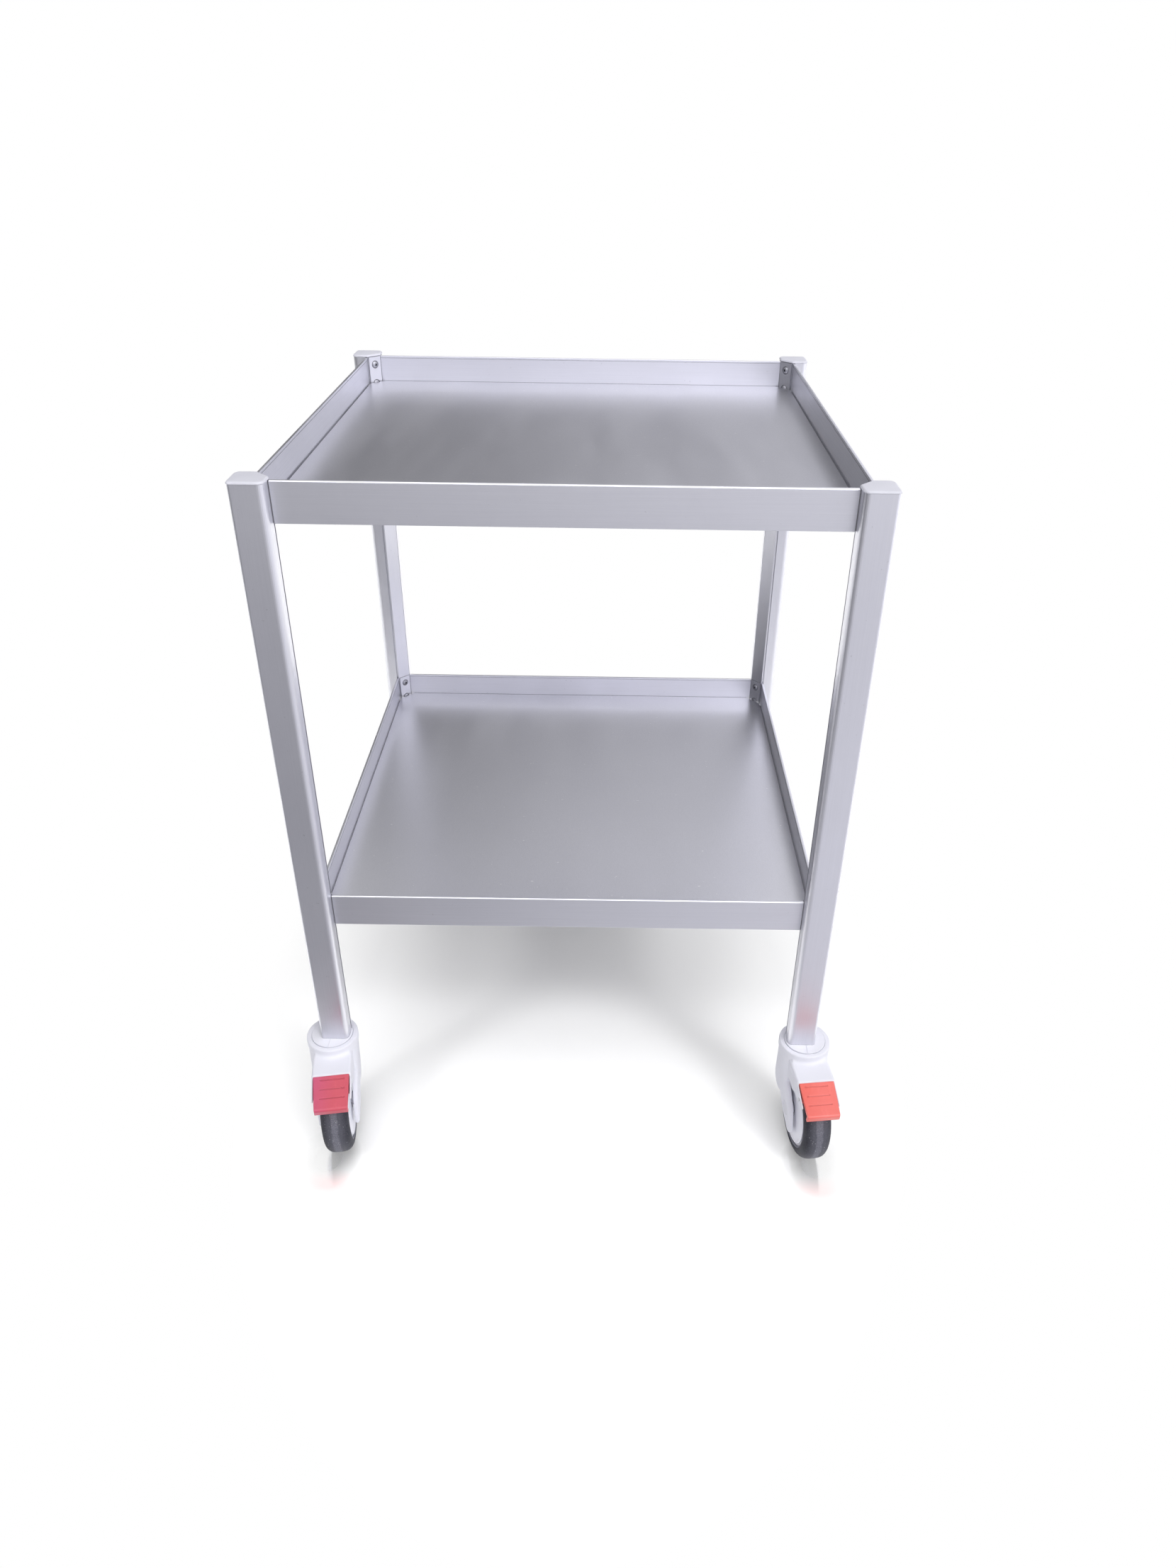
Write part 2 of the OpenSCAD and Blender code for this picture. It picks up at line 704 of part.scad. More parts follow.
// The plan of a pedal, narrower at its front, with round front corners
module pedal_plan() {
    r = 2.5;
    rear = pedal_w / 2;
    y = pedal_front_w / 2;
    polygon(concat(
        [[pedal_x - 1, -rear]],
        arc([pedal_reach - r, r - y], r, -90, 0, 4),
        arc([pedal_reach - r, y - r], r, 0, 90, 4),
        [[pedal_x - 1, rear]]
    ));
}

// The brake pedal: sloping tread with its lip, ears on the hinge pins, brake rib below
module pedal(c) {
    ear_t = 2.6;
    ear_y = pedal_w / 2 - ear_t / 2;
    rear = pedal_t * tan(pedal_slope);
    rib_x = 25.3;
    rib_z = 7.2;
    color(c[0] < 0 ? "#d8546a" : "#ee7468") at_caster(c) difference() {
        union() {
            intersection() {
                union() {
                    across_pedal(pedal_w) polygon(concat(
                        [[0, 0]],
                        arc([pedal_len - 3, -3], 3, 90, 0),
                        arc([pedal_len - 1.5, 1.5 - lip_h], 1.5, 0, -90, 3),
                        [[pedal_len - 3.6, -lip_h], [pedal_len - 4.6, -pedal_t], [rear, -pedal_t]]
                    ));
                    for (side = [-1, 1]) translate([0, side * ear_y, 0]) {
                        translate([hinge_x, 0, hinge_z]) rotate([90, 0, 0])
                            cylinder(r = 5, h = ear_t, center = true);
                        across_pedal(ear_t)
                            polygon([[7, 1 - pedal_t], [24, 1 - pedal_t], [18, -11], [9, -12]]);
                    }
                }
                translate([0, 0, 60]) linear_extrude(90) pedal_plan();
            }
            across_pedal(24) {
                translate([rib_x - 3, -rib_z]) square([6, 4]);
                translate([rib_x, -rib_z]) circle(r = 3);
            }
        }
        for (i = [1 : grip_count]) {
            groove = grip_first + (i - 1) * grip_pitch;
            across_pedal(grip_len) translate([groove - 0.7, -0.8]) square([1.4, 2]);
            translate([0, -c[0] * (grip_len / 2 + 1.5), 0]) across_pedal(2.2)
                translate([groove - 1.1, -0.8]) square([2.2, 2]);
        }
        translate([hinge_x, 0, hinge_z]) rotate([90, 0, 0]) cylinder(r = pin_r + fit, h = 60, center = true);
    }
}

module pedal_pins(c) {
    inner = pedal_w / 2 - 2.4;
    outer = arm_in + arm_t;
    color("#b8b8c0") at_caster(c) for (side = [90, -90])
        translate([hinge_x, 0, hinge_z]) rotate([side, 0, 0])
            translate([0, 0, inner]) cylinder(r = pin_r, h = outer - inner);
}

post(FL);  // post_fl
post(FR);  // post_fr
post(RL);  // post_rl
post(RR);  // post_rr
cap(FL);  // cap_fl
cap(FR);  // cap_fr
cap(RL);  // cap_rl
cap(RR);  // cap_rr
rail(0, top_z);  // rail_top_front
rail(180, top_z);  // rail_top_back
rail(270, top_z);  // rail_top_left
rail(90, top_z);  // rail_top_right
rail(0, low_z);  // rail_low_front
rail(180, low_z);  // rail_low_back
rail(270, low_z);  // rail_low_left
rail(90, low_z);  // rail_low_right
tray_floor(top_z);  // tray_top
tray_floor(low_z);  // tray_low
clamps(top_z);  // clamps_top
clamps(low_z);  // clamps_low
corner_screws();
nut_bars();
collar(FL);  // collar_fl
collar(FR);  // collar_fr
collar(RL);  // collar_rl
collar(RR);  // collar_rr
stem(FL);  // stem_fl
stem(FR);  // stem_fr
stem(RL);  // stem_rl
stem(RR);  // stem_rr
housing(FL);  // housing_fl
housing(FR);  // housing_fr
housing(RL);  // housing_rl
housing(RR);  // housing_rr
axle(FL);  // axle_fl
axle(FR);  // axle_fr
axle(RL);  // axle_rl
axle(RR);  // axle_rr
rim(FL);  // rim_fl
rim(FR);  // rim_fr
rim(RL);  // rim_rl
rim(RR);  // rim_rr
guards(FL);  // guards_fl
guards(FR);  // guards_fr
guards(RL);  // guards_rl
guards(RR);  // guards_rr
tyre(FL);  // tyre_fl
tyre(FR);  // tyre_fr
tyre(RL);  // tyre_rl
tyre(RR);  // tyre_rr
bearings(FL);  // bearings_fl
bearings(FR);  // bearings_fr
bearings(RL);  // bearings_rl
bearings(RR);  // bearings_rr
pedal(FL);  // pedal_fl
pedal(FR);  // pedal_fr
pedal_pins(FL);  // pedal_pins_fl
pedal_pins(FR);  // pedal_pins_fr
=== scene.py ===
"""Finishes, moulded casters, wheels and studio of the two-shelf utility trolley."""
import json
import math

import bmesh
import bpy
from bpy.props import FloatProperty, FloatVectorProperty, IntProperty, PointerProperty
from mathutils import Matrix, Vector


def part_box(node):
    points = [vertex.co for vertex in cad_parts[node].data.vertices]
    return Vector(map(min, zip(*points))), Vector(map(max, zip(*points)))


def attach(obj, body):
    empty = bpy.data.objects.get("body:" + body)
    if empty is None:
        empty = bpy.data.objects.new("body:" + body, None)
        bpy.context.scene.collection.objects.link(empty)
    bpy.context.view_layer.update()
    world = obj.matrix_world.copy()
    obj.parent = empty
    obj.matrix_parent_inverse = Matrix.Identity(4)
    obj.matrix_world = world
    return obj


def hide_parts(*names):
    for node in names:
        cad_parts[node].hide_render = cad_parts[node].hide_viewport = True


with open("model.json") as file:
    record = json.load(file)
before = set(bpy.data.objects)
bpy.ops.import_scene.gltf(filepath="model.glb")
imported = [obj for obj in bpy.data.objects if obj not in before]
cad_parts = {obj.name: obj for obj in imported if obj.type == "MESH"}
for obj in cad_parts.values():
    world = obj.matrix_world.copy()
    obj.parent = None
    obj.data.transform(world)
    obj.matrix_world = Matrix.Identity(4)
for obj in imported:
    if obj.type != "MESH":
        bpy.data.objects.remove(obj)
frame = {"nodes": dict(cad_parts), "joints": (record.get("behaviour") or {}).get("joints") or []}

bl_info = {
    "name": "Two-shelf Trolley",
    "version": (1, 0, 0),
    "blender": (4, 5, 0),
    "location": "3D View > Sidebar > Trolley",
    "description": "Builds the looks of a two-shelf trolley round its packed frame",
    "category": "Object",
}

CORNERS = ("fl", "fr", "rl", "rr")
BRAKED = ("fl", "fr")
JOINTS = {joint["name"]: joint for joint in frame["joints"]}
WHEEL_R = JOINTS["spin_fl"]["pos_m"][2]
PICTURE = (1659, 2212)
SENSOR = 36
FLOOR_HALF = 40
FLOOR_DROP = 0.0001
CARD_LIFT = 0.004
WELD = 0.000002

# Glowing cards round the trolley that only reflections see, setting bright and dark reflections on the
# metal.
# Each has its name, its centre, its width and height, and the places along X where its glow starts and
# stops changing, each with that glow.
FLOOR_CARDS = (
    ("card_floor_far", (0, -2.73, CARD_LIFT), (8, 2.46), (-1.0, 0.35), (1.2, 0.74)),
    ("card_floor_near", (0, -0.95, CARD_LIFT), (8, 1.10), (-0.45, 0.33), (0.5, 0.88)),
)
UPRIGHT_CARDS = (
    ("card_back_low", (-1.6, 4, 0.9), (5.6, 1.8), (-1.0, 0.04), (1.0, 0.15)),
    ("card_back", (-1.6, 4, 2.45), (5.6, 1.3), (-1.5, 0.05), (0.8, 0.55)),
    ("card_back_high", (-1.6, 4, 3.35), (5.6, 0.5), (-1.2, 0.10), (-0.1, 1.05)),
    ("card_back_right_low", (2.9, 4, 0.9), (3.4, 1.8), (1.2, 0.6), (2.4, 1.0)),
    ("card_back_right", (2.9, 4, 2.7), (3.4, 1.8), (1.2, 1.15), (2.2, 1.6)),
    ("card_front_low", (0, -4, 1.15), (7.2, 1.7), (-2.2, 0.22), (2.2, 1.05)),
    ("card_front_high", (0, -4, 3.25), (7.2, 2.5), (-2.2, 1.0), (2.2, 3.0)),
)
SIDE_CARDS = (
    ("card_left", (-3.6, 0, 2), (8, 4), (-1, 0.06), (1, 0.06)),
    ("card_right", (3.6, 0, 2), (8, 4), (-1.5, 1.8), (2.0, 1.2)),
)


def shade(name, text, default):
    """A colour that a user may change."""
    return FloatVectorProperty(
        name=name, description=text, default=default, size=3, min=0.0, max=1.0, subtype="COLOR"
    )


def length(name, text, default):
    """A length in metres that a user may change."""
    return FloatProperty(name=name, description=text, default=default, min=0.0, unit="LENGTH")


class TrolleyColours(bpy.types.PropertyGroup):
    """Colours of the trolley's finishes."""

    profile: shade("Profile", "Satin anodised posts and rails", (0.71, 0.71, 0.755))
    sheet: shade("Sheet", "Satin anodised tray floors", (0.67, 0.67, 0.712))
    cap: shade("Cap", "Moulded post caps", (0.73, 0.73, 0.81))
    screw: shade("Screw", "Socket-head screws", (0.40, 0.40, 0.44))
    zinc: shade("Zinc", "Plated inner hardware", (0.60, 0.60, 0.62))
    moulding: shade("Moulding", "White caster mouldings", (0.815, 0.815, 0.89))
    # Painted light: the discs' white is set paler than the fork moulding, so that they read as lit
    # where the forks shade them.
    disc: shade("Disc", "Discs over the wheels' sides", (0.90, 0.90, 0.98))
    rubber: shade("Rubber", "Tyres", (0.034, 0.034, 0.045))
    worn: shade("Worn rubber", "Worn band round the tyres", (0.14, 0.14, 0.17))
    bead: shade("Bead", "Ring between tyre and disc", (0.21, 0.21, 0.25))
    crimson: shade("Crimson", "Left brake pedal", (0.62, 0.08, 0.12))
    coral: shade("Coral", "Right brake pedal", (0.88, 0.18, 0.155))
    # Painted light: tints laid over each pedal's left side, a lilac sheen on the crimson pedal and
    # shade on the coral one.
    crimson_fade: shade("Crimson painted light", "Outer side of the left pedal", (0.54, 0.075, 0.20))
    coral_fade: shade("Coral painted light", "Inner side of the right pedal", (0.80, 0.115, 0.085))
    floor: shade("Floor", "Studio floor", (0.62, 0.62, 0.63))


class TrolleySizes(bpy.types.PropertyGroup):
    """Sizes of the pieces that are modelled here."""

    fork_cell: length("Fork cell", "Fineness of the fork mouldings", 0.0008)
    pedal_cell: length("Pedal cell", "Fineness of the pedals", 0.0004)
    cap_cell: length("Cap cell", "Fineness of the caps", 0.0006)
    tyre_steps: IntProperty(name="Tyre steps", description="Steps round a tyre", default=160, min=48)
    disc_steps: IntProperty(name="Disc steps", description="Steps round a disc", default=96, min=32)
    tyre_half: length("Tyre half", "Half of a tyre's width", 0.0165)
    tyre_bore: length("Tyre bore", "Radius inside a tyre", 0.0464)
    disc_r: length("Disc radius", "Radius of a wheel's disc", 0.0440)
    disc_seat: length("Disc seat", "A disc's inner face from the wheel's middle", 0.01468)


class TrolleyStudio(bpy.types.PropertyGroup):
    """Camera and lights."""

    place: FloatVectorProperty(
        name="Camera", description="Place of the camera", default=(0.03893, -1.23488, 1.110377),
        size=3, unit="LENGTH",
    )
    pitch: FloatProperty(
        name="Pitch", description="The camera's fall below level", default=math.radians(-32.557),
        unit="ROTATION",
    )
    turn: FloatProperty(
        name="Turn", description="The camera's turn to the left", default=math.radians(-0.114),
        unit="ROTATION",
    )
    roll: FloatProperty(
        name="Roll", description="The camera's roll", default=math.radians(0.855), unit="ROTATION"
    )
    lens: FloatProperty(name="Lens", description="Focal length in millimetres", default=25.292)
    middle_x: FloatProperty(
        name="Middle X", description="Optical middle in pixels", default=854.825
    )
    middle_y: FloatProperty(
        name="Middle Y", description="Optical middle in pixels", default=1128.405
    )
    dome: FloatProperty(name="Dome", description="Level of the light from all round", default=0.35)
    key: FloatProperty(
        name="Key", description="Strength of the light from front right", default=1.00
    )
    fill: FloatProperty(
        name="Fill", description="Strength of the light from front left", default=0.16
    )
    top: FloatProperty(name="Top", description="Strength of the light from above", default=0.95)
    side: FloatProperty(
        name="Side", description="Strength of the light from the right", default=0.48
    )
    floor_top: FloatProperty(
        name="Floor top", description="Strength of the floor's own light from above", default=0.90
    )
    streak: FloatProperty(
        name="Streak", description="Strength of the floor's two narrow lights", default=0.50
    )
    floor_gain: FloatProperty(
        name="Floor gain", description="Level of the floor in the picture", default=0.84
    )
    mirror: FloatProperty(
        name="Mirror", description="Share of the floor's reflection", default=0.80
    )
    mirror_y: FloatProperty(
        name="Mirror place", description="Middle of the reflections", default=-0.328
    )
    mirror_blur: FloatProperty(
        name="Mirror blur", description="Blur of the floor's reflection", default=0.13
    )


class Recipe:
    """A material put together from procedural nodes on Object coordinates."""

    def __init__(self, name, colour, metallic, roughness):
        self.material = bpy.data.materials.new(name)
        self.material.use_nodes = True
        self.tree = self.material.node_tree
        self.tree.nodes.clear()
        self.output = self.node("ShaderNodeOutputMaterial")
        self.shader = self.node("ShaderNodeBsdfPrincipled")
        self.join(self.shader.outputs["BSDF"], self.output.inputs["Surface"])
        self.shader.inputs["Base Color"].default_value = (*colour, 1)
        self.shader.inputs["Metallic"].default_value = metallic
        self.shader.inputs["Roughness"].default_value = roughness
        self.place = self.node("ShaderNodeTexCoord").outputs["Object"]
        self.colour = None
        self.plain = (*colour, 1)

    def node(self, kind, **settings):
        made = self.tree.nodes.new(kind)
        for key, value in settings.items():
            setattr(made, key, value)
        return made

    def join(self, source, target):
        self.tree.links.new(source, target)

    def noise(self, scale, detail=3.0, stretch=(1, 1, 1), turn=(0, 0, 0)):
        """Noise on the piece, stretched along one direction if asked."""
        mapping = self.node("ShaderNodeMapping")
        mapping.inputs["Scale"].default_value = stretch
        mapping.inputs["Rotation"].default_value = turn
        self.join(self.place, mapping.inputs["Vector"])
        made = self.node("ShaderNodeTexNoise")
        made.inputs["Scale"].default_value = scale
        made.inputs["Detail"].default_value = detail
        made.inputs["Roughness"].default_value = 0.55
        self.join(mapping.outputs["Vector"], made.inputs["Vector"])
        return made.outputs["Fac"]

    def spread(self, source, low, high, start=0.3, stop=0.7):
        """Maps a pattern from start..stop to low..high."""
        made = self.node("ShaderNodeMapRange")
        for key, value in (("From Min", start), ("From Max", stop), ("To Min", low), ("To Max", high)):
            made.inputs[key].default_value = value
        self.join(source, made.inputs["Value"])
        return made.outputs["Result"]

    def tint(self, amount, colour):
        """Lays a second colour over the first where the pattern says."""
        made = self.node("ShaderNodeMix", data_type="RGBA")
        self.join(amount, made.inputs["Factor"])
        if self.colour is None:
            made.inputs["A"].default_value = self.plain
        else:
            self.join(self.colour, made.inputs["A"])
        made.inputs["B"].default_value = (*colour, 1)
        self.colour = made.outputs["Result"]
        self.join(self.colour, self.shader.inputs["Base Color"])

    def rough(self, amount):
        self.join(amount, self.shader.inputs["Roughness"])

    def relief(self, heights):
        """Adds bump from (pattern, depth in metres) pairs."""
        normal = None
        for pattern, depth in heights:
            bump = self.node("ShaderNodeBump")
            bump.inputs["Strength"].default_value = 1.0
            bump.inputs["Distance"].default_value = depth
            self.join(pattern, bump.inputs["Height"])
            if normal is not None:
                self.join(normal, bump.inputs["Normal"])
            normal = bump.outputs["Normal"]
        self.join(normal, self.shader.inputs["Normal"])

    def spot(self, middle, scale):
        """Distance from a place, in metres, less along an axis with a larger scale."""
        mapping = self.node("ShaderNodeMapping", vector_type="TEXTURE")
        mapping.inputs["Location"].default_value = middle
        mapping.inputs["Scale"].default_value = scale
        self.join(self.place, mapping.inputs["Vector"])
        away = self.node("ShaderNodeVectorMath", operation="LENGTH")
        self.join(mapping.outputs["Vector"], away.inputs[0])
        return away.outputs["Value"]

    def painted_seam_shade(self, reach, colour, start=0.45, stop=0.85):
        """Paints shade into narrow gaps and inner corners from ambient occlusion, within the reach in
        metres.
        """
        made = self.node("ShaderNodeAmbientOcclusion", samples=6)
        made.inputs["Distance"].default_value = reach
        self.tint(self.spread(made.outputs["AO"], 1.0, 0.0, start, stop), colour)

    def value(self, kind, first, second):
        """One Math node on two patterns or numbers."""
        made = self.node("ShaderNodeMath", operation=kind)
        for socket, item in zip(made.inputs, (first, second)):
            if isinstance(item, (int, float)):
                socket.default_value = item
            else:
                self.join(item, socket)
        return made.outputs["Value"]


def darker(colour, share):
    """The colour at a share of its level."""
    return tuple(channel * share for channel in colour)


def profile_finish(name, colour, along):
    """Satin anodised profile with die lines along its length, faint clouds and rare nicks."""
    recipe = Recipe(name, colour, 1.0, 0.36)
    lines = [1.0, 1.0, 1.0]
    lines[along] = 0.012
    die = recipe.noise(900, 2.0, lines)
    fine = recipe.noise(2600, 2.0)
    cloud = recipe.noise(9, 4.0)
    nicks = recipe.spread(recipe.noise(210, 1.0), 0.0, 0.5, 0.765, 0.80)
    recipe.tint(recipe.spread(cloud, 0.0, 0.6), darker(colour, 0.93))
    recipe.tint(recipe.spread(die, 0.0, 0.35), darker(colour, 0.9))
    recipe.tint(nicks, darker(colour, 0.72))
    # Painted shade: ambient occlusion darkens the profile's narrow gaps and inner corners.
    recipe.painted_seam_shade(0.0011, darker(colour, 0.3))
    recipe.rough(recipe.value("ADD", recipe.spread(cloud, 0.31, 0.37), recipe.spread(die, 0.0, 0.06)))
    recipe.relief([(die, 0.000012), (fine, 0.000008)])
    return recipe.material


def sheet_finish(name, colour):
    """Rolled satin sheet: a very fine even grain with a few specks and faint wipe marks."""
    recipe = Recipe(name, colour, 1.0, 0.34)
    grain = recipe.noise(1500, 2.0, (1.0, 0.25, 1.0))
    cloud = recipe.noise(4.5, 4.0)
    wipe = recipe.noise(16, 4.0, (1.0, 0.18, 1.0), (0, 0, 0.5))
    specks = recipe.spread(recipe.noise(170, 1.0), 0.0, 0.8, 0.775, 0.80)
    recipe.tint(recipe.spread(cloud, 0.0, 0.7), darker(colour, 0.94))
    recipe.tint(recipe.spread(grain, 0.0, 0.5), darker(colour, 0.9))
    recipe.tint(specks, (0.82, 0.82, 0.84))
    # Painted shade: ambient occlusion darkens the tray floor along the rails and in its corners.
    recipe.painted_seam_shade(0.0015, darker(colour, 0.6))
    recipe.rough(recipe.value("ADD", recipe.spread(wipe, 0.29, 0.35), recipe.spread(grain, 0.0, 0.05)))
    recipe.relief([(grain, 0.00001)])
    return recipe.material


def moulded_finish(name, colour, roughness, grain_depth=0.00001, soil=0.9, low=None):
    """Satin moulded plastic with a fine grain, faint clouds and a little soil in patches."""
    recipe = Recipe(name, colour, 0.0, roughness)
    recipe.shader.inputs["Specular IOR Level"].default_value = 0.35
    grain = recipe.noise(1400, 2.0)
    cloud = recipe.noise(22, 4.0)
    scuff = recipe.spread(recipe.noise(75, 5.0, (1.0, 1.0, 0.35)), 0.0, 0.35, 0.62, 0.75)
    recipe.tint(recipe.spread(cloud, 0.0, 0.6), darker(colour, 0.955))
    recipe.tint(scuff, darker(colour, soil))
    # Painted shade: ambient occlusion darkens the moulding's narrow gaps and inner corners.
    recipe.painted_seam_shade(0.0012, darker(colour, 0.84))
    recipe.rough(recipe.spread(cloud, roughness - 0.04, roughness + 0.06))
    recipe.relief([(grain, grain_depth), (cloud, 0.00006)])
    return recipe.material


def steel_finish(name, colour, roughness):
    """Turned and plated steel."""
    recipe = Recipe(name, colour, 1.0, roughness)
    grain = recipe.noise(1800, 2.0)
    cloud = recipe.noise(60, 3.0)
    recipe.tint(recipe.spread(cloud, 0.0, 0.8), darker(colour, 0.82))
    # Painted shade: ambient occlusion darkens gaps, sockets and inner corners nearly to black.
    recipe.painted_seam_shade(0.0016, darker(colour, 0.08))
    recipe.rough(recipe.spread(cloud, roughness - 0.05, roughness + 0.08))
    recipe.relief([(grain, 0.00001)])
    return recipe.material


def rubber_finish(name, colours):
    """Rubber with a dusty worn band round the middle, pale specks in it and a paler bead ring."""
    recipe = Recipe(name, colours.rubber, 0.0, 0.6)
    recipe.shader.inputs["Specular IOR Level"].default_value = 0.12
    across = recipe.node("ShaderNodeAttribute", attribute_name="across").outputs["Fac"]
    ring = recipe.node("ShaderNodeAttribute", attribute_name="ring").outputs["Fac"]
    grit = recipe.noise(900, 3.0)
    patch = recipe.noise(70, 5.0)
    scrape = recipe.noise(30, 6.0)
    middle = recipe.value("ABSOLUTE", across, 0)
    tread = recipe.value("ADD", middle, recipe.spread(scrape, -0.06, 0.06))
    recipe.tint(recipe.spread(tread, 0.50, 0.0, 0.40, 0.85), colours.worn)
    band = recipe.value("ADD", middle, recipe.spread(patch, -0.07, 0.07))
    recipe.tint(recipe.spread(band, 0.85, 0.0, 0.17, 0.27), colours.worn)
    dust = recipe.value("MULTIPLY", recipe.spread(grit, 0.0, 0.6, 0.42, 0.62),
                        recipe.spread(band, 1.0, 0.15, 0.17, 0.32))
    recipe.tint(dust, tuple(c * 1.7 for c in colours.worn))
    specks = recipe.value("MULTIPLY", recipe.spread(recipe.noise(560, 1.0), 0.0, 0.8, 0.71, 0.75),
                          recipe.spread(middle, 1.0, 0.0, 0.5, 0.9))
    recipe.tint(specks, (0.42, 0.42, 0.45))
    recipe.tint(ring, colours.bead)
    # Painted shade: ambient occlusion darkens the rubber's narrow gaps and inner corners.
    recipe.painted_seam_shade(0.0012, darker(colours.rubber, 0.4))
    recipe.rough(recipe.spread(scrape, 0.5, 0.68))
    recipe.relief([(grit, 0.00004), (patch, 0.00006)])
    return recipe.material


def pedal_finish(name, colour, painted_light, low, high):
    """Satin moulded pedal with a painted tint of light towards one side, and painted shade in its grip
    grooves.
    """
    recipe = Recipe(name, colour, 0.0, 0.40)
    grain = recipe.noise(1200, 2.0)
    cloud = recipe.noise(38, 4.0)
    split = recipe.node("ShaderNodeSeparateXYZ")
    recipe.join(recipe.place, split.inputs["Vector"])
    # Painted light: the tint is laid over the pedal's left side, strongest at its edge.
    recipe.tint(recipe.spread(split.outputs["X"], 0.85, 0.0, low, low + 0.6 * (high - low)), painted_light)
    recipe.tint(recipe.spread(cloud, 0.0, 0.5), darker(colour, 0.88))
    rub = recipe.spread(recipe.noise(120, 5.0, (1.0, 0.3, 1.0)), 0.0, 0.3, 0.60, 0.78)
    recipe.tint(rub, tuple(min(1.0, c * 1.15 + 0.04) for c in colour))
    # Painted shade: ambient occlusion darkens the grip grooves and the pedal's inner corners.
    recipe.painted_seam_shade(0.0011, darker(colour, 0.35), 0.55, 0.95)
    recipe.rough(recipe.spread(cloud, 0.34, 0.46))
    recipe.relief([(grain, 0.00001), (cloud, 0.00009)])
    return recipe.material


def coat(nodes, material):
    """Gives CAD nodes a finish."""
    for name in nodes:
        for slot in frame["nodes"][name].material_slots:
            slot.material = material


def caster_place(corner):
    """The caster's own axes: ahead, across and up, from its wheel's axle."""
    joint = JOINTS["spin_" + corner]
    across = Vector(joint["axis"]).normalized()
    up = Vector((0, 0, 1))
    ahead = across.cross(up)
    turn = Matrix((ahead, across, up)).transposed().to_4x4()
    return Matrix.Translation(Vector(joint["pos_m"])) @ turn


def new_piece(name, mesh, material, smooth_angle=None):
    """Links a finished mesh as an object at the origin."""
    piece = bpy.data.objects.new(name, mesh)
    bpy.context.scene.collection.objects.link(piece)
    mesh.materials.clear()
    mesh.materials.append(material)
    if smooth_angle is None:
        mesh.shade_smooth()
    else:
        mesh.set_sharp_from_angle(angle=smooth_angle)
        mesh.polygons.foreach_set("use_smooth", [True] * len(mesh.polygons))
    mesh.update()
    return piece


def moulded_copy(node, name, place, cell, rounds, material):
    """A CAD node's shape as one soft moulding, worked in the node's own axes."""
    build = bmesh.new()
    build.from_mesh(frame["nodes"][node].data)
    bmesh.ops.remove_doubles(build, verts=build.verts, dist=WELD)
    bmesh.ops.transform(build, matrix=place.inverted(), verts=build.verts)
    mesh = bpy.data.meshes.new(name)
    build.to_mesh(mesh)
    build.free()
    piece = bpy.data.objects.new(name, mesh)
    bpy.context.scene.collection.objects.link(piece)
    remesh = piece.modifiers.new("Moulding", "REMESH")
    remesh.mode = "VOXEL"
    remesh.voxel_size = cell
    smooth = piece.modifiers.new("Soft edges", "SMOOTH")
    smooth.factor = 0.5
    smooth.iterations = rounds
    bpy.context.view_layer.update()
    graph = bpy.context.evaluated_depsgraph_get()
    soft = bpy.data.meshes.new_from_object(piece.evaluated_get(graph))
    bpy.data.objects.remove(piece)
    bpy.data.meshes.remove(mesh)
    if not soft.polygons:
        raise RuntimeError(f"{name}: the moulding came out empty")
    soft.transform(place)
    soft.name = name
    return new_piece(name, soft, material)


def turned(name, profile, steps, place, material, layers=None, smooth_angle=None):
    """Spins a closed profile of (radius, across) points about the axle."""
    build = bmesh.new()
    made = {key: build.verts.layers.float.new(key) for key in (layers or {})}
    ring = [build.verts.new((radius, across, 0)) for radius, across in profile]
    for key, layer in made.items():
        for vert, value in zip(ring, layers[key]):
            vert[layer] = value
    edges = [build.edges.new((a, b)) for a, b in zip(ring, ring[1:] + ring[:1])]
    bmesh.ops.spin(
        build, geom=ring + edges, cent=(0, 0, 0), axis=(0, 1, 0), dvec=(0, 0, 0),
        angle=2 * math.pi, steps=steps, use_merge=True, use_duplicate=False,
    )
    bmesh.ops.remove_doubles(build, verts=build.verts, dist=0.000001)
    bmesh.ops.recalc_face_normals(build, faces=build.faces)
    bmesh.ops.transform(build, matrix=place, verts=build.verts)
    mesh = bpy.data.meshes.new(name)
    build.to_mesh(mesh)
    build.free()
    return new_piece(name, mesh, material, smooth_angle)


class TROLLEY_OT_frame_finish(bpy.types.Operator):
    """Finishes the posts, rails, tray floors, screws and inner hardware"""

    bl_idname = "trolley.frame_finish"
    bl_label = "Finish Frame"

    def execute(self, context):
        colours = context.scene.trolley_colours
        coat(["post_" + c for c in CORNERS], profile_finish("satin_post", colours.profile, 2))
        wide = profile_finish("satin_rail_across", colours.profile, 0)
        deep = profile_finish("satin_rail_deep", colours.profile, 1)
        for level in ("top", "low"):
            coat([f"rail_{level}_{side}" for side in ("front", "back")], wide)
            coat([f"rail_{level}_{side}" for side in ("left", "right")], deep)
        coat(["tray_top", "tray_low"], sheet_finish("satin_sheet", colours.sheet))
        zinc = steel_finish("plated_steel", colours.zinc, 0.38)
        coat(["clamps_top", "clamps_low"], profile_finish("satin_plate", colours.profile, 2))
        coat(["nut_bars"], zinc)
        coat(["stem_" + c for c in CORNERS] + ["bearings_" + c for c in CORNERS], zinc)
        coat(["corner_screws"], steel_finish("screw_steel", colours.screw, 0.52))
        return {"FINISHED"}


